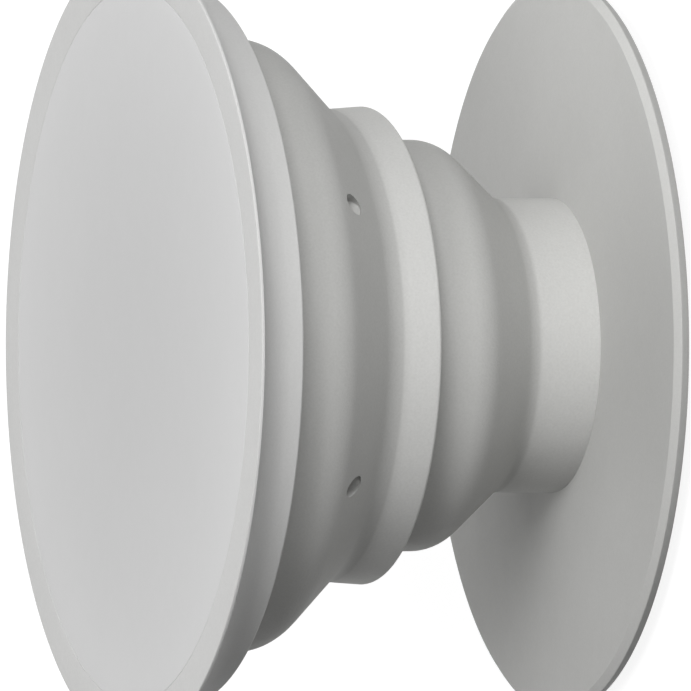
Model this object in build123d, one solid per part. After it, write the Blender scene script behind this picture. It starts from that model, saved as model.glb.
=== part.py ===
from build123d import *
import os
from math import atan2, cos, tan

# A collapsible phone grip, popped open. Millimetres, +Z along the axis from the base to the button,
# origin at the centre of the adhesive pad's underside. Every piece is turned about Z.

# Adhesive pad, set in from the edge of the plate's back
PAD_MARGIN = 2.50
PAD_THICKNESS = 0.75

# Base plate: an undercut side below, a bevel above
PLATE_RADIUS = 18.40
PLATE_SIDE_HEIGHT = 0.45
PLATE_UNDERCUT = 0.20
PLATE_BEVEL_WIDTH = 0.40
PLATE_BEVEL_HEIGHT = 0.30

# Neck of the bellows, and the barbed post of the base plate inside it
NECK_RADIUS = 7.34
NECK_HEIGHT = 3.43
NECK_CREASE_SETBACK = 0.32
NECK_WALL = 1.40
LIP_HEIGHT = 1.30
BARB_DEPTH = 0.65
BARB_SIDE_HEIGHT = 0.15
BARB_LEAD_HEIGHT = 0.45
POST_WALL = 1.50

# Bellows: each cone steps outwards from the neck or ring below it to the wall above it
LOWER_CONE_STEP = 2.91
LOWER_CONE_HEIGHT = 3.24
LOWER_WALL_HEIGHT = 3.20
RING_LEDGE = 1.66
RING_HEIGHT = 2.51
RING_TAPER = 0.18
RING_EDGE_CHAMFER = 0.12
RING_CREASE_SETBACK = 0.60
UPPER_CONE_STEP = 3.52
UPPER_CONE_HEIGHT = 3.50
UPPER_WALL_HEIGHT = 3.27
SHOULDER_SETBACK = 1.10
WALL_THICKNESS = 1.00
CONE_THICKNESS = 0.70
BEAD_DEPTH = 0.95

# Vent holes straight in through the upper cone, a drop below its shoulder
VENT_COUNT = 6
VENT_DIAMETER = 1.10
VENT_SIDES = 8
VENT_DROP = 1.31

# Button: a skirt round the top of the bellows, a thin rim with a cove under it, and a recess for the face
SKIRT_WALL = 2.48
SKIRT_LIP_HEIGHT = 0.65
GROOVE_HEIGHT = 0.93
BUTTON_FLOOR = 0.80
RIM_OVERHANG = 2.04
RIM_EDGE_HEIGHT = 0.15
RIM_WIDTH = 2.05
COVE_SETBACK = 2.00

# Face disc
FACE_THICKNESS = 0.50

# Clearances
RUNNING_CLEARANCE = 0.08
AXIAL_CLEARANCE = 0.05
BARB_CLEARANCE = 0.30
FACE_CLEARANCE = 0.05

# Rounded corners: the straight sides that stand for an arc, and the share of a side that one may take up
SHOULDER_SIDES = 3
CREASE_SIDES = 2
COVE_SIDES = 4
ROUND_LIMIT = 0.98

# Heights, from the pad up
plate_back = PAD_THICKNESS
plate_side_top = plate_back + PLATE_SIDE_HEIGHT
plate_top = plate_side_top + PLATE_BEVEL_HEIGHT
neck_foot = plate_top + AXIAL_CLEARANCE
lip_top = neck_foot + LIP_HEIGHT
barb_bottom = lip_top + AXIAL_CLEARANCE
barb_side_top = barb_bottom + BARB_SIDE_HEIGHT
post_top = barb_side_top + BARB_LEAD_HEIGHT
neck_top = neck_foot + NECK_HEIGHT
lower_shoulder = neck_top + LOWER_CONE_HEIGHT
ring_bottom = lower_shoulder + LOWER_WALL_HEIGHT
ring_top = ring_bottom + RING_HEIGHT
upper_shoulder = ring_top + UPPER_CONE_HEIGHT
skirt_bottom = upper_shoulder + UPPER_WALL_HEIGHT
groove_bottom = skirt_bottom + SKIRT_LIP_HEIGHT
bead_bottom = groove_bottom + AXIAL_CLEARANCE
groove_top = groove_bottom + GROOVE_HEIGHT
bead_top = groove_top - AXIAL_CLEARANCE
recess_floor = groove_top + BUTTON_FLOOR
button_top = recess_floor + FACE_THICKNESS
rim_bottom = button_top - RIM_EDGE_HEIGHT

# Radii, of the plate's back and the pad, and from the neck inwards to the post and outwards to the rim
back_radius = PLATE_RADIUS - PLATE_UNDERCUT
pad_radius = back_radius - PAD_MARGIN
neck_bore = NECK_RADIUS - NECK_WALL
barb_radius = neck_bore - BARB_CLEARANCE
post_radius = barb_radius - BARB_DEPTH
post_bore = post_radius - POST_WALL
lip_radius = post_radius + RUNNING_CLEARANCE
lower_radius = NECK_RADIUS + LOWER_CONE_STEP
lower_inside = lower_radius - WALL_THICKNESS
ring_radius = lower_radius + RING_LEDGE
crease_radius = ring_radius - RING_TAPER
upper_radius = crease_radius + UPPER_CONE_STEP
upper_inside = upper_radius - WALL_THICKNESS
bead_radius = upper_radius + BEAD_DEPTH
mouth_radius = upper_radius + RUNNING_CLEARANCE
groove_radius = bead_radius + RUNNING_CLEARANCE
skirt_radius = mouth_radius + SKIRT_WALL
rim_radius = skirt_radius + RIM_OVERHANG
recess_radius = rim_radius - RIM_WIDTH
face_radius = recess_radius - FACE_CLEARANCE


def eased_corner(before, corner, after, setback, sides):
    """Points that share out the arc which rounds a corner from a setback before it to one after it."""
    corner = Vector(*corner)
    to_before = Vector(*before) - corner
    to_after = Vector(*after) - corner
    reach = min(setback, ROUND_LIMIT * to_before.length, ROUND_LIMIT * to_after.length)
    start = corner + to_before.normalized() * reach
    end = corner + to_after.normalized() * reach
    arc = TangentArc(start, end, tangent=corner - start)
    return [arc @ (side / sides) for side in range(sides + 1)]


def turned(outline, eased=None):
    """Solid turned about Z from the (radius, height) corners of a half section.

    eased gives the setback and the number of sides of each corner that is rounded.
    """
    eased = eased or {}
    points = []
    for before, corner, after in zip(outline[-1:] + outline[:-1], outline, outline[1:] + outline[:1]):
        if corner in eased:
            points += eased_corner(before, corner, after, *eased[corner])
        else:
            points.append(corner)
    section = make_face(Polyline(*points, close=True))
    return revolve(Plane.XZ * section, Axis.Z)


def make_adhesive_pad():
    """Flat gel disc."""
    return Cylinder(pad_radius, PAD_THICKNESS, align=(Align.CENTER, Align.CENTER, Align.MIN))


def make_base_plate():
    """Bevelled plate with a hollow barbed post."""
    return turned([
        (0, plate_back),
        (back_radius, plate_back),
        (PLATE_RADIUS, plate_side_top),
        (PLATE_RADIUS - PLATE_BEVEL_WIDTH, plate_top),
        (post_radius, plate_top),
        (post_radius, barb_bottom),
        (barb_radius, barb_bottom),
        (barb_radius, barb_side_top),
        (post_radius, post_top),
        (post_bore, post_top),
        (post_bore, plate_top),
        (0, plate_top),
    ])


def cone_inside(radius, cone_foot, cone_step, cone_height):
    """Point of a cone's inner face at a radius, the face lying the cone's thickness inside the outer one."""
    slope = atan2(cone_step, cone_height)
    rise = (radius - cone_foot[0] + CONE_THICKNESS / cos(slope)) / tan(slope)
    return (radius, cone_foot[1] + rise)


def make_vents():
    """Ring of holes through the upper cone, each pointing at the axis."""
    vent_radius = upper_radius - VENT_DROP * UPPER_CONE_STEP / UPPER_CONE_HEIGHT
    vent_height = upper_shoulder - VENT_DROP
    reach = WALL_THICKNESS + CONE_THICKNESS
    drill = Rot(0, 90, 0) * extrude(RegularPolygon(VENT_DIAMETER / 2, VENT_SIDES), reach, both=True)
    return [turn * Pos(vent_radius, 0, vent_height) * drill for turn in PolarLocations(0, VENT_COUNT)]


def make_accordion():
    """One moulding: neck with an inner lip, two tiers of cone and wall, a thick ring and a top bead."""
    neck_crease = (NECK_RADIUS, neck_top)
    lower_corner = (lower_radius, lower_shoulder)
    ring_crease = (crease_radius, ring_top)
    upper_corner = (upper_radius, upper_shoulder)
    lower_cone = (neck_crease, LOWER_CONE_STEP, LOWER_CONE_HEIGHT)
    upper_cone = (ring_crease, UPPER_CONE_STEP, UPPER_CONE_HEIGHT)
    outline = [
        (NECK_RADIUS, neck_foot),
        neck_crease,
        lower_corner,
        (lower_radius, ring_bottom),
        (ring_radius - RING_EDGE_CHAMFER, ring_bottom),
        (ring_radius, ring_bottom + RING_EDGE_CHAMFER),
        ring_crease,
        upper_corner,
        (upper_radius, bead_bottom),
        (bead_radius, bead_bottom),
        (bead_radius, bead_top),
        (upper_inside, bead_top),
        cone_inside(upper_inside, *upper_cone),
        cone_inside(lower_inside, *upper_cone),
        cone_inside(lower_inside, *lower_cone),
        cone_inside(neck_bore, *lower_cone),
        (neck_bore, lip_top),
        (lip_radius, lip_top),
        (lip_radius, neck_foot),
    ]
    eased = {
        neck_crease: (NECK_CREASE_SETBACK, CREASE_SIDES),
        lower_corner: (SHOULDER_SETBACK, SHOULDER_SIDES),
        ring_crease: (RING_CREASE_SETBACK, CREASE_SIDES),
        upper_corner: (SHOULDER_SETBACK, SHOULDER_SIDES),
    }
    return turned(outline, eased) - make_vents()


def make_button():
    """Cap with a recess on top, a thin rim, a cove down to the skirt and a groove for the bead."""
    cove = (skirt_radius, rim_bottom)
    outline = [
        (0, recess_floor),
        (recess_radius, recess_floor),
        (recess_radius, button_top),
        (rim_radius, button_top),
        (rim_radius, rim_bottom),
        cove,
        (skirt_radius, skirt_bottom),
        (mouth_radius, skirt_bottom),
        (mouth_radius, groove_bottom),
        (groove_radius, groove_bottom),
        (groove_radius, groove_top),
        (0, groove_top),
    ]
    return turned(outline, {cove: (COVE_SETBACK, COVE_SIDES)})


def make_face_disc():
    """Thin disc that fills the button's recess."""
    disc = Cylinder(face_radius, FACE_THICKNESS, align=(Align.CENTER, Align.CENTER, Align.MIN))
    return Pos(0, 0, recess_floor) * disc


nodes = {
    "adhesive_pad": make_adhesive_pad(),
    "base_plate": make_base_plate(),
    "accordion": make_accordion(),
    "button": make_button(),
    "face_disc": make_face_disc(),
}

os.makedirs("parts", exist_ok=True)
for name, shape in nodes.items():
    export_step(shape, f"parts/{name}.step")
    print(name, "volume", round(shape.volume, 1), "mm3, top", round(shape.bounding_box().max.Z, 2), "mm")
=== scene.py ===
# %% [markdown]
# A collapsible phone grip, popped open: a flat round button on a soft bellows of two tiers, which folds
# down onto a thin base plate with a gel pad under it. The CAD frame already holds the five solids and
# their joints. They could be shown as they are with new materials, but each of their rounds is only a few
# facets. So this lesson turns every piece again as a fine surface, gives it its plastic, and then sets up
# a floor, the light and a camera.

# %% The frame
import math

import bpy
import numpy as np
from mathutils import Matrix, Vector


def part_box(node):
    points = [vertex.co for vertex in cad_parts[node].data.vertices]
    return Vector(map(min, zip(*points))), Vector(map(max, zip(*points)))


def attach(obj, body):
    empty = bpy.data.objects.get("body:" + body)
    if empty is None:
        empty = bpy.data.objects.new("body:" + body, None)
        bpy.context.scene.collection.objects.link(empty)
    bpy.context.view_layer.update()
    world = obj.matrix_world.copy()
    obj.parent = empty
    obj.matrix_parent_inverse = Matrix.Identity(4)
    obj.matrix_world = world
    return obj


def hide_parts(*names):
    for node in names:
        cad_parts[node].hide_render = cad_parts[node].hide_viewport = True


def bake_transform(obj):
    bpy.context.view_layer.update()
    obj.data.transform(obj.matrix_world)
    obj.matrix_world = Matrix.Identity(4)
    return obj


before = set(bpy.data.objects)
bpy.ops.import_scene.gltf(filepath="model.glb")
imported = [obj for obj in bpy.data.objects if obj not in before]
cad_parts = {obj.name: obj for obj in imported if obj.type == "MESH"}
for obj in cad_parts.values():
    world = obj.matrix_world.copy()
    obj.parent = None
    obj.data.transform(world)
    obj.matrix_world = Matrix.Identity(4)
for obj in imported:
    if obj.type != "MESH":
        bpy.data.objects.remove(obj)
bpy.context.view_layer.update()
scene = bpy.context.scene

# %% [markdown]
# Every piece of the grip is round about one axis, so half of its cross-section says all about it. Those
# sections could be drawn freely, but then they would drift away from the solids. So the outer sizes are
# read from the frame, and each piece adds the few sizes inside its own box, as the CAD model has them.
# They are in millimetres, as such parts are drawn, while Blender works in metres.

# %% Sizes from the frame
MM = 0.001


def reach(node):
    """Largest radius, lowest height and highest height of a CAD node, in millimetres."""
    low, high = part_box(node)
    return high.x / MM, low.z / MM, high.z / MM


pad_radius, pad_bottom, pad_top = reach("adhesive_pad")
plate_radius, plate_back, post_top = reach("base_plate")
bead_radius, neck_foot, bead_top = reach("accordion")
rim_radius, skirt_bottom, button_top = reach("button")
face_radius, recess_floor, face_top = reach("face_disc")
print("rim", round(rim_radius, 2), "plate", round(plate_radius, 2), "height", round(button_top, 2), "mm")

# %% [markdown]
# A moulded part has no razor edges: each corner of its section has a small round, which catches the light.
# Blender's Bevel modifier could round the finished mesh. Here the section itself is rounded first, so that
# each corner has a radius of its own and the mesh stays an even grid. Long straight sides are divided too,
# so that shading stays flat beside a round and the soft bellows has points to bend at.

# %% A rounded section
ARC_POINTS = 9


def unit(vectors):
    """Each row divided by its own length."""
    return vectors / np.linalg.norm(vectors, axis=1, keepdims=True)


def rounded(corners):
    """Points of a closed section whose corners are rows of radius, height and rounding.

    An arc touches both sides of its corner. Its centre lies on the line that halves the corner, at
    rounding / sin(half angle), and its points turn evenly from one touching point to the other.
    """
    place, rounding = corners[:, :2], corners[:, 2:]
    to_before = unit(np.roll(place, 1, 0) - place)
    to_after = unit(np.roll(place, -1, 0) - place)
    half = np.arccos(np.clip((to_before * to_after).sum(1, keepdims=True), -1, 1)) / 2
    centre = place + unit(to_before + to_after) * rounding / np.sin(half)
    first = place + to_before * rounding / np.tan(half) - centre
    last = place + to_after * rounding / np.tan(half) - centre
    turn = np.pi - 2 * half[:, None]
    share = np.linspace(0, 1, ARC_POINTS)[None, :, None]
    arcs = first[:, None] * np.sin((1 - share) * turn) + last[:, None] * np.sin(share * turn)
    return (centre[:, None] + arcs / np.sin(turn)).reshape(-1, 2)


def divided(points, step):
    """The same open line with no gap wider than step: each side is cut into equal parts."""
    sides = np.diff(points, axis=0)
    parts = np.maximum(np.ceil(np.linalg.norm(sides, axis=1) / step), 1).astype(int)
    side = np.repeat(np.arange(len(sides)), parts)
    share = (np.arange(parts.sum()) - np.repeat(np.cumsum(parts) - parts, parts)) / parts[side]
    return np.vstack([points[side] + sides[side] * share[:, None], points[-1:]])


print("each corner of a section becomes an arc of", ARC_POINTS, "points")

# %% [markdown]
# A lathe turns a section into a solid, and so does Blender's Screw modifier. Worked out as one array, the
# same thing is a single formula, and the mesh has no seam: the last column of the grid joins the first. A
# solid that reaches the axis is closed there by a fan of triangles round one point.

# %% A lathe
SEGMENTS = 256


def turned_points(section, segments):
    """Grid of points: a section point (r, z) turned by t lies at (r cos t, r sin t, z), in metres."""
    turn = np.linspace(0, 2 * np.pi, segments, endpoint=False)
    radius, height = section[:, :1] * MM, section[:, 1:] * MM
    return np.stack([radius * np.cos(turn), radius * np.sin(turn), height + 0 * turn], -1).reshape(-1, 3)


def quads_between(below, above, segments):
    """Quads that join each row of the grid in below to the row in above, all the way round."""
    column = np.arange(segments)
    beside = np.roll(column, -1)
    below, above = below[:, None] * segments, above[:, None] * segments
    return np.stack([below + column, below + beside, above + beside, above + column], -1).reshape(-1, 4)


def turned_solid(corners, step, segments=SEGMENTS):
    """Points and faces of a solid whose section runs out from the axis below and back to it above."""
    corners = np.array(corners, float)
    foot, top = [0, corners[0, 1]], [0, corners[-1, 1]]
    hub = [0, (foot[1] + top[1]) / 2, 0]
    arcs = rounded(np.vstack([hub, corners]))[ARC_POINTS:]
    section = divided(np.vstack([foot, arcs, top]), step)[1:-1]
    poles = np.array([[0, 0, foot[1]], [0, 0, top[1]]]) * MM
    points = np.vstack([turned_points(section, segments), poles])
    rows = np.arange(len(section))
    column = np.arange(segments)
    beside = np.roll(column, -1)
    last = rows[-1] * segments
    under = np.stack([np.full(segments, len(points) - 2), beside, column], 1)
    over = np.stack([np.full(segments, len(points) - 1), last + column, last + beside], 1)
    quads = quads_between(rows[:-1], rows[1:], segments)
    return points, [*quads.tolist(), *under.tolist(), *over.tolist()]


def turned_ring(corners, step, segments=SEGMENTS):
    """Points and faces of a ring whose closed section runs up outside and down inside."""
    arcs = rounded(np.array(corners, float))
    section = divided(np.vstack([arcs, arcs[:1]]), step)[:-1]
    rows = np.arange(len(section))
    return turned_points(section, segments), quads_between(rows, np.roll(rows, -1), segments).tolist()


def new_piece(name, points, faces):
    """Object at the origin with a smooth-shaded mesh of these points and faces."""
    mesh = bpy.data.meshes.new(name)
    mesh.from_pydata(points, [], faces)
    mesh.shade_smooth()
    piece = bpy.data.objects.new(name, mesh)
    scene.collection.objects.link(piece)
    print(name, "has", len(mesh.polygons), "faces")
    return piece


print("a full turn is", SEGMENTS, "columns of the grid")

# %% [markdown]
# The gel pad sticks the grip to a phone: a soft disc, smaller than the plate above it. The plain CAD
# cylinder could stay, but a gel sheet is cut out by a blade that drags its edge round, so it is turned
# with soft edges.

# %% The gel pad
CUT_ROUND = 0.20
LINER_ROUND = 0.10

pad = new_piece("adhesive_gel_pad", *turned_solid([
    (pad_radius, pad_bottom, CUT_ROUND),
    (pad_radius, pad_top, LINER_ROUND),
], step=1.5))
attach(pad, "base")
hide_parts("adhesive_pad")

# %% [markdown]
# The base plate is a thin moulded disc, bevelled above and undercut below, so that a nail can lift it. In
# its middle stands a short hollow post with a barb, over which the neck of the bellows snaps. The post
# could be left out, because the neck hides it, but a part in a library is looked at piece by piece, so the
# plate is whole.

# %% Sizes of the plate and its post
PLATE_SIDE_HEIGHT = 0.45
PLATE_UNDERCUT = 0.20
PLATE_BEVEL_WIDTH = 0.40
PLATE_BEVEL_HEIGHT = 0.30
NECK_RADIUS = 7.34
NECK_WALL = 1.40
LIP_HEIGHT = 1.30
BARB_CLEARANCE = 0.30
BARB_DEPTH = 0.65
BARB_SIDE_HEIGHT = 0.15
POST_WALL = 1.50
AXIAL_CLEARANCE = 0.05

plate_side_top = plate_back + PLATE_SIDE_HEIGHT
plate_top = plate_side_top + PLATE_BEVEL_HEIGHT
lip_top = neck_foot + LIP_HEIGHT
barb_bottom = lip_top + AXIAL_CLEARANCE
neck_bore = NECK_RADIUS - NECK_WALL
barb_radius = neck_bore - BARB_CLEARANCE
post_radius = barb_radius - BARB_DEPTH
post_bore = post_radius - POST_WALL
print("the post is", round(post_radius, 2), "mm in radius, and its barb", round(barb_radius, 2))

# %% The base plate
PLATE_EDGE_ROUND = 0.06
MOULD_ROUND = 0.05
FINE_ROUND = 0.02

plate = new_piece("base_plate_disc", *turned_solid([
    (plate_radius - PLATE_UNDERCUT, plate_back, PLATE_EDGE_ROUND),
    (plate_radius, plate_side_top, PLATE_EDGE_ROUND),
    (plate_radius - PLATE_BEVEL_WIDTH, plate_top, PLATE_EDGE_ROUND),
    (post_radius, plate_top, MOULD_ROUND),
    (post_radius, barb_bottom, MOULD_ROUND),
    (barb_radius, barb_bottom, MOULD_ROUND),
    (barb_radius, barb_bottom + BARB_SIDE_HEIGHT, MOULD_ROUND),
    (post_radius, post_top, MOULD_ROUND),
    (post_bore, post_top, MOULD_ROUND),
    (post_bore, plate_top, MOULD_ROUND),
], step=0.8))
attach(plate, "base")
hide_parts("base_plate")

# %% [markdown]
# The bellows is the clever part: one soft moulding whose two thin cones are living hinges. Pushed from
# above, each cone turns inside out and lets its wall slide down round the ring below. Cloth tools would
# only blur such a crisp moulding, so it is turned as well. First come its sizes, from the neck up.

# %% Sizes of the bellows
NECK_HEIGHT = 3.43
LOWER_CONE_STEP = 2.91
LOWER_CONE_HEIGHT = 3.24
LOWER_WALL_HEIGHT = 3.20
RING_LEDGE = 1.66
RING_HEIGHT = 2.51
RING_TAPER = 0.18
UPPER_CONE_STEP = 3.52
UPPER_CONE_HEIGHT = 3.50
WALL_THICKNESS = 1.00
CONE_THICKNESS = 0.70
SKIRT_LIP_HEIGHT = 0.65
RUNNING_CLEARANCE = 0.08

neck_top = neck_foot + NECK_HEIGHT
lower_shoulder = neck_top + LOWER_CONE_HEIGHT
ring_bottom = lower_shoulder + LOWER_WALL_HEIGHT
ring_top = ring_bottom + RING_HEIGHT
upper_shoulder = ring_top + UPPER_CONE_HEIGHT
groove_bottom = skirt_bottom + SKIRT_LIP_HEIGHT
bead_bottom = groove_bottom + AXIAL_CLEARANCE

lip_radius = post_radius + RUNNING_CLEARANCE
lower_radius = NECK_RADIUS + LOWER_CONE_STEP
lower_inside = lower_radius - WALL_THICKNESS
ring_radius = lower_radius + RING_LEDGE
crease_radius = ring_radius - RING_TAPER
upper_radius = crease_radius + UPPER_CONE_STEP
upper_inside = upper_radius - WALL_THICKNESS
print("the two tiers are", round(lower_radius, 2), "and", round(upper_radius, 2), "mm in radius")

# %% [markdown]
# The section of the bellows is a closed loop, up the outside and down the inside. It could be one wall of
# even thickness, made by Solidify, but the ring and the neck are thick and the cones are thin. So both
# sides are given, and each inner cone lies parallel to the outer one. The shoulders and creases have wide
# rounds, which is where the light runs softly from one face to the next. The neck's foot presses on the
# plate, so it keeps a crisp edge and only a hair of a seam: a wider one would draw a dark line round it.

# %% The bellows
SHOULDER_ROUND = 2.10
NECK_CREASE_ROUND = 1.20
RING_CREASE_ROUND = 1.40
RING_EDGE_ROUND = 0.18
UNDERCUT_ROUND = 0.15
INNER_SHOULDER_ROUND = 0.80
INNER_CREASE_ROUND = 0.50
FOOT_ROUND = 0.005
FOOT_SEAM = 0.003


def inside_cone(radius, cone_foot, cone_step, cone_height):
    """Point at a radius on a cone's inner face, which lies as far inside the outer one as the hinge is
    thick.
    """
    slope = math.atan2(cone_step, cone_height)
    rise = (radius - cone_foot[0] + CONE_THICKNESS / math.cos(slope)) / math.tan(slope)
    return radius, cone_foot[1] + rise


lower_cone = ((NECK_RADIUS, neck_top), LOWER_CONE_STEP, LOWER_CONE_HEIGHT)
upper_cone = ((crease_radius, ring_top), UPPER_CONE_STEP, UPPER_CONE_HEIGHT)
foot_rest = plate_top + FOOT_SEAM
bellows = new_piece("bellows", *turned_ring([
    (NECK_RADIUS, foot_rest, FOOT_ROUND),
    (NECK_RADIUS, neck_top, NECK_CREASE_ROUND),
    (lower_radius, lower_shoulder, SHOULDER_ROUND),
    (lower_radius, ring_bottom, UNDERCUT_ROUND),
    (ring_radius, ring_bottom, RING_EDGE_ROUND),
    (crease_radius, ring_top, RING_CREASE_ROUND),
    (upper_radius, upper_shoulder, SHOULDER_ROUND),
    (upper_radius, bead_bottom, MOULD_ROUND),
    (bead_radius, bead_bottom, MOULD_ROUND),
    (bead_radius, bead_top, MOULD_ROUND),
    (upper_inside, bead_top, MOULD_ROUND),
    (*inside_cone(upper_inside, *upper_cone), INNER_SHOULDER_ROUND),
    (*inside_cone(lower_inside, *upper_cone), INNER_CREASE_ROUND),
    (*inside_cone(lower_inside, *lower_cone), INNER_SHOULDER_ROUND),
    (*inside_cone(neck_bore, *lower_cone), INNER_CREASE_ROUND),
    (neck_bore, lip_top, MOULD_ROUND),
    (lip_radius, lip_top, MOULD_ROUND),
    (lip_radius, foot_rest, MOULD_ROUND),
], step=0.40))

# %% [markdown]
# Air has to leave when the bellows folds, so six small vents go straight in through the upper cone. Each
# is a round spot cut flat into the slope, with a fine bore in its floor. They could be dark dots in the
# material, but a spot has a lit floor and a shaded side. So a ring of stepped pins is turned and cut out by
# one Boolean modifier. It is applied at once, so that the bellows is a plain mesh, and the rims of the
# vents are marked sharp.

# %% Pins for the vents
VENT_COUNT = 6
VENT_RADIUS = 0.52
VENT_DEPTH = 0.65
VENT_BORE_RADIUS = 0.12
VENT_DROP = 1.31
PIN_SEGMENTS = 48

vent_radius = upper_radius - VENT_DROP * UPPER_CONE_STEP / UPPER_CONE_HEIGHT
vent_height = upper_shoulder - VENT_DROP
pin_reach = WALL_THICKNESS + CONE_THICKNESS
vent_floor = vent_radius - VENT_DEPTH
pin, pin_faces = turned_solid([
    (VENT_BORE_RADIUS, vent_radius - pin_reach, FINE_ROUND),
    (VENT_BORE_RADIUS, vent_floor, FINE_ROUND),
    (VENT_RADIUS, vent_floor, MOULD_ROUND),
    (VENT_RADIUS, vent_radius + pin_reach, MOULD_ROUND),
], step=1.0, segments=PIN_SEGMENTS)

# A pin lies along the radius: its own axis z points outwards, and its x and y go sideways and up.
turn = np.arange(VENT_COUNT)[:, None] * 2 * np.pi / VENT_COUNT
pin_points = np.stack([
    pin[:, 2] * np.cos(turn) - pin[:, 0] * np.sin(turn),
    pin[:, 2] * np.sin(turn) + pin[:, 0] * np.cos(turn),
    vent_height * MM + pin[:, 1] + 0 * turn,
], -1).reshape(-1, 3)
all_faces = [[corner + number * len(pin) for corner in face]
             for number in range(VENT_COUNT) for face in pin_faces]
pins = new_piece("vent_pins", pin_points, all_faces)

# %% The vents
SHARP_ANGLE = math.radians(40.0)

cut = bellows.modifiers.new("vents", "BOOLEAN")
cut.operation = "DIFFERENCE"
cut.solver = "EXACT"
cut.object = pins
vented = bpy.data.meshes.new_from_object(bellows.evaluated_get(bpy.context.evaluated_depsgraph_get()))
bellows.modifiers.remove(cut)
bellows.data = vented
bpy.data.objects.remove(pins)
vented.set_sharp_from_angle(angle=SHARP_ANGLE)
print("bellows with", VENT_COUNT, "vents:", len(vented.polygons), "faces")

# %% [markdown]
# The thin tiers sit back under the button and under the ring, and the thick ring stands out. Their grey is
# painted a shade deeper than the ring's: this is painted shade for the light that the button and the ring
# keep off them. So the mesh carries a number for it: 0 on the thin tiers, 1 on the thick ring and a little
# less on the neck. It belongs to the points of the mesh.

# %% Painted shade on the tiers
NECK_CREASE_DEPTH = 0.32
RING_CREASE_DEPTH = 0.60
FADE = 0.10
NECK_SHARE = 0.70

places = np.empty(3 * len(vented.vertices), np.float32)
vented.vertices.foreach_get("co", places)
neck_end = neck_top - NECK_CREASE_DEPTH
ring_end = ring_top - RING_CREASE_DEPTH
stops = [
    neck_end - FADE, neck_end + FADE,
    ring_bottom - FADE, ring_bottom,
    ring_end - FADE, ring_end + FADE,
]
levels = [NECK_SHARE, 0, 0, 1, 1, 0]
# Painted shade: 0 is the deeper grey of the shaded tiers, 1 the paler grey of the lit ring.
tier_shade_share = np.interp(places[2::3] / MM, stops, levels).astype(np.float32)
vented.attributes.new("painted_tier_shade", "FLOAT", "POINT").data.foreach_set("value", tier_shade_share)
print("points on the thick ring:", int((tier_shade_share == 1).sum()), "of", len(tier_shade_share))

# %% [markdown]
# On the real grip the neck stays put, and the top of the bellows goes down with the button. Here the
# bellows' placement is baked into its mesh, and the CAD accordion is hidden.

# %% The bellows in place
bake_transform(bellows)
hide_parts("accordion")
print("the bellows folds from", round(post_top, 2), "to", round(skirt_bottom, 2), "mm")

# %% [markdown]
# The button is the rigid cap that a thumb rests on. Under its thin rim a cove runs into the skirt in one
# uninterrupted curve, a groove inside the skirt holds the bead of the bellows, and the top is a shallow
# recess. A row of edge loops with a Bevel could make it, but on a lathe the cove is just one more rounded
# corner.

# %% The button
SKIRT_WALL = 2.48
GROOVE_HEIGHT = 0.93
RIM_EDGE_HEIGHT = 0.15
FACE_CLEARANCE = 0.05
COVE_ROUND = 2.00
SKIRT_EDGE_ROUND = 0.12
RIM_EDGE_ROUND = 0.06

groove_top = groove_bottom + GROOVE_HEIGHT
rim_bottom = button_top - RIM_EDGE_HEIGHT
mouth_radius = upper_radius + RUNNING_CLEARANCE
groove_radius = bead_radius + RUNNING_CLEARANCE
skirt_radius = mouth_radius + SKIRT_WALL
recess_radius = face_radius + FACE_CLEARANCE
button = new_piece("button_cap", *turned_solid([
    (groove_radius, groove_top, MOULD_ROUND),
    (groove_radius, groove_bottom, MOULD_ROUND),
    (mouth_radius, groove_bottom, MOULD_ROUND),
    (mouth_radius, skirt_bottom, MOULD_ROUND),
    (skirt_radius, skirt_bottom, SKIRT_EDGE_ROUND),
    (skirt_radius, rim_bottom, COVE_ROUND),
    (rim_radius, rim_bottom, FINE_ROUND),
    (rim_radius, button_top, RIM_EDGE_ROUND),
    (recess_radius, button_top, FINE_ROUND),
    (recess_radius, recess_floor, FINE_ROUND),
], step=0.8))
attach(button, "button")
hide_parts("button")

# %% [markdown]
# The face disc is pressed into the top of the button, flush with the rim. The CAD solid has a working
# clearance all round, which would show as a black line, so here the disc fills its recess but for a hair.

# %% The face disc
SEAM = 0.01

face = new_piece("face_inlay", *turned_solid([
    (recess_radius - SEAM, recess_floor, FINE_ROUND),
    (recess_radius - SEAM, face_top, FINE_ROUND),
], step=1.0))
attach(face, "button")
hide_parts("face_disc")

# %% [markdown]
# Colours are picked as sRGB hex codes, as on a paint card, but a renderer adds up light in linear values.
# They could be typed in as linear numbers, which nobody can picture, so one function translates. One small
# function adds nodes, too: it sets what it is given, and links whatever is a socket.

# %% Colours and nodes
# The Mix node has sockets of the same name for numbers, vectors and colours. These are the colours'.
MIX_A = 6
MIX_B = 7
MIX_RESULT = 2


def colour(code):
    """Linear RGBA of an sRGB hex code: ((c + 0.055) / 1.055) ** 2.4, and c / 12.92 near black."""
    srgb = np.array([int(code[place:place + 2], 16) for place in (1, 3, 5)]) / 255
    linear = np.where(srgb > 0.04045, ((srgb + 0.055) / 1.055) ** 2.4, srgb / 12.92)
    return (*linear.tolist(), 1.0)


def add(tree, kind, sockets, **settings):
    """Adds a node of a kind to a tree. A value that is itself a socket is linked, any other is set."""
    node = tree.nodes.new(kind)
    for name, value in settings.items():
        setattr(node, name, value)
    for name, value in sockets.items():
        if isinstance(value, bpy.types.NodeSocket):
            tree.links.new(value, node.inputs[name])
        else:
            node.inputs[name].default_value = value
    return node


print("a mid grey card in linear light:", round(colour("#808080")[0], 3))

# %% [markdown]
# A moulded plastic is never one flat colour. The pigment drifts a little over a few millimetres, the
# eroded steel of the mould leaves a fine grain, and the gloss wanders over about a millimetre. A picture
# texture could hold all that, but it needs a UV map and ends at its last pixel. Three noises on Object
# coordinates have real sizes instead. The real grain is about 0.05 mm wide, which is one pixel of the
# picture, so it is drawn at 0.12 mm.

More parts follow.
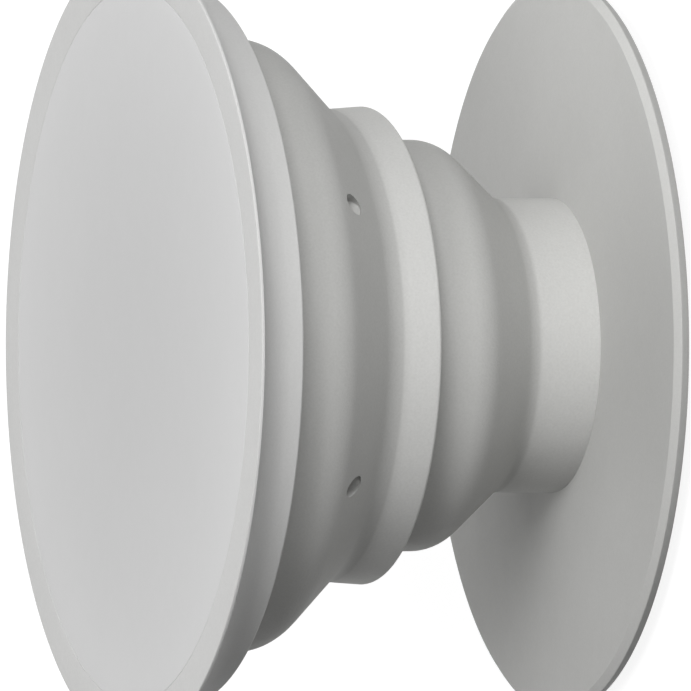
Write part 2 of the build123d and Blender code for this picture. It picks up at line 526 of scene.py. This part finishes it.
# %% A moulded surface
DRIFT_SIZE = 6.0
GLOSS_SIZE = 0.9
GRAIN_SIZE = 0.12
GLOSS_SPREAD = 0.05
NOISE_RANGE = {"From Min": 0.25, "From Max": 0.75}


def new_material(name):
    """Material with its node tree, its shader and the Object coordinates that its patterns read."""
    material = bpy.data.materials.new(name)
    material.use_nodes = True
    tree = material.node_tree
    place = add(tree, "ShaderNodeTexCoord", {}).outputs["Object"]
    return material, tree, tree.nodes["Principled BSDF"], place


def mould(tree, shader, place, base, roughness, drift, grain, relief):
    """Moulded finish: base x (1 +- drift) x (1 +- grain), and the grain as a relief in millimetres."""
    clouds, pits, sheen = (
        add(tree, "ShaderNodeTexNoise", {"Vector": place, "Scale": 1 / (size * MM)}).outputs["Fac"]
        for size in (DRIFT_SIZE, GRAIN_SIZE, GLOSS_SIZE))
    pigment = add(tree, "ShaderNodeMapRange", {
        "Value": clouds, **NOISE_RANGE, "To Min": 1 - drift, "To Max": 1 + drift})
    speckle = add(tree, "ShaderNodeMapRange", {
        "Value": pits, **NOISE_RANGE, "To Min": 1 - grain, "To Max": 1 + grain})
    tone = add(tree, "ShaderNodeMath", {
        0: pigment.outputs["Result"], 1: speckle.outputs["Result"]}, operation="MULTIPLY")
    tint = add(tree, "ShaderNodeMix", {
        "Factor": 1.0, MIX_A: base, MIX_B: tone.outputs["Value"]}, data_type="RGBA", blend_type="MULTIPLY")
    gloss = add(tree, "ShaderNodeMapRange", {
        "Value": sheen, **NOISE_RANGE,
        "To Min": roughness - GLOSS_SPREAD, "To Max": roughness + GLOSS_SPREAD})
    bump = add(tree, "ShaderNodeBump", {"Height": pits, "Strength": 1.0, "Distance": relief * MM})
    tree.links.new(tint.outputs[MIX_RESULT], shader.inputs["Base Color"])
    tree.links.new(gloss.outputs["Result"], shader.inputs["Roughness"])
    tree.links.new(bump.outputs["Normal"], shader.inputs["Normal"])


print("grain of", GRAIN_SIZE, "mm, gloss over", GLOSS_SIZE, "mm, drift over", DRIFT_SIZE, "mm")

# %% [markdown]
# The bellows is soft-touch TPU, an elastic plastic with a matte, slightly warm grey. Its thin tiers are
# painted a shade deeper than its thick ring, as painted shade for the light that the button and the ring
# keep off them. So the shader mixes two greys by the number that the mesh carries.

# %% Soft-touch TPU
# Injection-moulded TPU: its grain scatters the light, so it looks matte, with hardly any shine.
tpu, tree, shader, place = new_material("soft_touch_tpu")
tier_shade = add(tree, "ShaderNodeAttribute", {}, attribute_name="painted_tier_shade")
# Painted shade: #B8B8B6 on the shaded tiers and #CCCCCA on the lit ring, mixed by that number.
body = add(tree, "ShaderNodeMix", {
    "Factor": tier_shade.outputs["Fac"], MIX_A: colour("#B8B8B6"), MIX_B: colour("#CCCCCA"),
}, data_type="RGBA")
mould(tree, shader, place, body.outputs[MIX_RESULT], roughness=0.62, drift=0.02, grain=0.04, relief=0.010)
shader.inputs["IOR"].default_value = 1.50
shader.inputs["Specular IOR Level"].default_value = 0.15
vented.materials.clear()
vented.materials.append(tpu)
print(tpu.name, "has", len(tree.nodes), "nodes")

# %% [markdown]
# The button and the base plate are polycarbonate from a finely eroded mould, which gives a broad, quiet
# sheen. They share one plastic, but the plate's grey is set a shade deeper: painted shade under the grip.

# %% Satin polycarbonate
# Injection-moulded polycarbonate: firm and even, with a soft highlight that follows the edges.
for piece, name, shade in (
    (button, "satin_polycarbonate_cap", "#C9C9C8"),
    # Painted shade: the plate's deeper grey stands for the shade that the grip casts on it.
    (plate, "satin_polycarbonate_base", "#BBBBB9"),
):
    satin, tree, shader, place = new_material(name)
    mould(tree, shader, place, colour(shade), roughness=0.55, drift=0.015, grain=0.025, relief=0.006)
    shader.inputs["IOR"].default_value = 1.58
    shader.inputs["Specular IOR Level"].default_value = 0.15
    piece.data.materials.append(satin)
    print(name, "has", len(tree.nodes), "nodes")

# %% [markdown]
# The face disc comes from a mould with a much finer grain, about as matte as the cap's. Its grey is
# painted a shade deeper in the middle and paler towards its rim: painted shade and painted light, as the
# light fell across it. So its grey follows the square of the distance from the axis: a Mapping node
# makes the disc one unit in radius, and a vector's dot product with itself is the square of its length.

# %% Smooth polycarbonate
# Injection-moulded polycarbonate from a polished, lightly blasted mould: clean, neutral and even.
smooth, tree, shader, place = new_material("smooth_polycarbonate_face")
flat_scale = 1 / (face_radius * MM)
disc = add(tree, "ShaderNodeMapping", {"Vector": place, "Scale": (flat_scale, flat_scale, 0)})
square = add(tree, "ShaderNodeVectorMath", {
    0: disc.outputs["Vector"], 1: disc.outputs["Vector"]}, operation="DOT_PRODUCT")
# Painted shade in the middle (#C6C6C6) and painted light at the rim (#D1D1D1).
painted_shade_ramp = add(tree, "ShaderNodeMix", {
    "Factor": square.outputs["Value"], MIX_A: colour("#C6C6C6"), MIX_B: colour("#D1D1D1"),
}, data_type="RGBA")
mould(
    tree, shader, place, painted_shade_ramp.outputs[MIX_RESULT],
    roughness=0.58, drift=0.008, grain=0.008, relief=0.001)
shader.inputs["IOR"].default_value = 1.58
shader.inputs["Specular IOR Level"].default_value = 0.08
face.data.materials.append(smooth)
print(smooth.name, "has", len(tree.nodes), "nodes")

# %% [markdown]
# The pad is a clear acrylic gel that looks milky, because it is full of tiny bubbles. Real spheres inside
# it would cost thousands of faces, so a Voronoi pattern draws them: where a point is close to the middle
# of its cell, there is a bubble. Bubbles are about 0.3 mm wide and 0.8 mm apart.

# %% Acrylic gel
# Cast acrylic gel: glossy where it was peeled off its liner, pale, with light that goes a little way in.
BUBBLE_SPACING = 0.8
BUBBLE_EDGE = {"From Min": 0.16, "From Max": 0.22}

gel, tree, shader, place = new_material("acrylic_gel")
cells = add(tree, "ShaderNodeTexVoronoi", {"Vector": place, "Scale": 1 / (BUBBLE_SPACING * MM)})
outside = add(tree, "ShaderNodeMapRange", {"Value": cells.outputs["Distance"], **BUBBLE_EDGE})
milk = add(tree, "ShaderNodeMix", {
    "Factor": outside.outputs["Result"], MIX_A: colour("#E6E6E3"), MIX_B: colour("#D6D6D2"),
}, data_type="RGBA")
mould(tree, shader, place, milk.outputs[MIX_RESULT], roughness=0.25, drift=0.02, grain=0.01, relief=0.002)
shader.inputs["IOR"].default_value = 1.47
shader.inputs["Subsurface Weight"].default_value = 0.5
shader.inputs["Subsurface Scale"].default_value = 0.5 * MM
pad.data.materials.append(gel)
print(gel.name, "has", len(tree.nodes), "nodes")

# %% [markdown]
# The grip stands on a sheet of white studio paper. A white enough floor could be had from more light, but
# that would bleach the grip. So the paper glows by itself for the rays that the camera sees, straight or
# in a shine, and takes a part of the lamps' light on top, which keeps the shadow. All other rays meet a
# duller sheet, which throws less light up at the grip.

# %% The floor
# Half of the sheet's side, in metres
FLOOR_HALF = 0.6
PAPER_GLOW = 0.90
PAPER_SHADE = "#848484"
PAPER_COLOUR = "#A0A0A0"

floor = new_piece("floor", [
    (-FLOOR_HALF, -FLOOR_HALF, 0), (FLOOR_HALF, -FLOOR_HALF, 0),
    (FLOOR_HALF, FLOOR_HALF, 0), (-FLOOR_HALF, FLOOR_HALF, 0)], [(0, 1, 2, 3)])


def seen_rays(tree):
    """1 for camera, glossy and transmission rays, which show the backdrop, and 0 for the light it sheds."""
    rays = add(tree, "ShaderNodeLightPath", {}).outputs
    sight = add(tree, "ShaderNodeMath", {
        0: rays["Is Camera Ray"], 1: rays["Is Glossy Ray"]}, operation="ADD")
    return add(tree, "ShaderNodeMath", {
        0: sight.outputs["Value"], 1: rays["Is Transmission Ray"]}, operation="ADD").outputs["Value"]


paper = bpy.data.materials.new("studio_paper")
paper.use_nodes = True
tree = paper.node_tree
tree.nodes.remove(tree.nodes["Principled BSDF"])
glow = add(tree, "ShaderNodeEmission", {"Strength": PAPER_GLOW})
shadow = add(tree, "ShaderNodeBsdfDiffuse", {"Color": colour(PAPER_SHADE)})
bright = add(tree, "ShaderNodeAddShader", {0: glow.outputs[0], 1: shadow.outputs[0]})
bounce = add(tree, "ShaderNodeBsdfDiffuse", {"Color": colour(PAPER_COLOUR)})
mixed = add(tree, "ShaderNodeMixShader", {0: seen_rays(tree), 1: bounce.outputs[0], 2: bright.outputs[0]})
tree.links.new(mixed.outputs[0], tree.nodes["Material Output"].inputs["Surface"])
floor.data.materials.append(paper)
print("paper of", round(2 * FLOOR_HALF, 1), "m that glows at", PAPER_GLOW)

# %% [markdown]
# Beyond the paper is a white room. As a light it would fill every shadow, so for the light that it sheds
# it is almost dark, and only the rays that the camera sees find it white. A backdrop mesh could do the
# same, but the world needs no size and is there from every side.

# %% The world
FILL = 0.02

world = bpy.data.worlds.new("studio")
scene.world = world
world.use_nodes = True
tree = world.node_tree
level = add(tree, "ShaderNodeMapRange", {"Value": seen_rays(tree), "To Min": FILL, "To Max": 1.0})
tree.links.new(level.outputs["Result"], tree.nodes["Background"].inputs["Strength"])
tree.nodes["Background"].inputs["Color"].default_value = (1, 1, 1, 1)
print("the room sheds", FILL, "of white")

# %% [markdown]
# Four softboxes light the grip: a key beside the camera, one behind that draws the far edges, a high one
# in front that lifts the top, and a weak one at the rear, so that no side is left dark. Sun lamps would be
# simpler, but they cast hard shadows, and a large area light close by gives soft ones, as in a studio.

# %% Lights
# How far each softbox stands off, its side, and the height that it faces, in metres
LAMP_DISTANCE = 0.40
LAMP_SIZE = 0.20
LAMP_AIM = 0.012


def softbox(name, azimuth, elevation, power):
    """Square area light that faces the grip. In degrees: azimuth 0 is the camera's side, 90 the +X side."""
    lamp = bpy.data.lights.new(name, "AREA")
    lamp.shape = "SQUARE"
    lamp.size = LAMP_SIZE
    lamp.energy = power
    box = bpy.data.objects.new(name, lamp)
    a, e = math.radians(azimuth), math.radians(elevation)
    direction = Vector((math.sin(a) * math.cos(e), -math.cos(a) * math.cos(e), math.sin(e)))
    box.location = Vector((0, 0, LAMP_AIM)) + direction * LAMP_DISTANCE
    box.rotation_euler = direction.to_track_quat("Z", "Y").to_euler()
    scene.collection.objects.link(box)
    print(name, "light of", power, "W")


softbox("key", azimuth=30, elevation=20, power=1.15)
softbox("back", azimuth=130, elevation=50, power=0.61)
softbox("front", azimuth=0, elevation=50, power=0.70)
softbox("rear", azimuth=215, elevation=30, power=0.32)

# %% [markdown]
# The photograph was taken with a long lens from far away, because the button and the base are drawn almost
# without perspective. An orthographic camera would do that exactly, but it keeps its narrow width when it
# moves round, and would cut off the grip's sides in other views. So a very long lens stands 1.4 m off. The
# camera is rolled by a quarter turn: its up is the grip's +X, so that the axis lies across the picture.

# %% The camera
ELEVATION = math.radians(19.155)
AIM_HEIGHT = 12.367
CAMERA_DISTANCE = 1400.0
VIEW_WIDTH = 34.384

scene.view_settings.view_transform = "Standard"
away = Vector((0, -math.cos(ELEVATION), math.sin(ELEVATION)))
upwards = Vector((1, 0, 0))
sideways = upwards.cross(away)
lens = bpy.data.cameras.new("camera")
lens.lens = lens.sensor_width * CAMERA_DISTANCE / VIEW_WIDTH
lens.clip_start = 0.05
lens.clip_end = 5.0
camera = bpy.data.objects.new("camera", lens)
facing = Matrix((sideways, upwards, away)).transposed().to_4x4()
stand = Vector((0, 0, AIM_HEIGHT * MM)) + away * CAMERA_DISTANCE * MM
camera.matrix_world = Matrix.Translation(stand) @ facing
scene.collection.objects.link(camera)
scene.camera = camera
print("a lens of", round(lens.lens), "mm sees", VIEW_WIDTH, "mm of the grip")
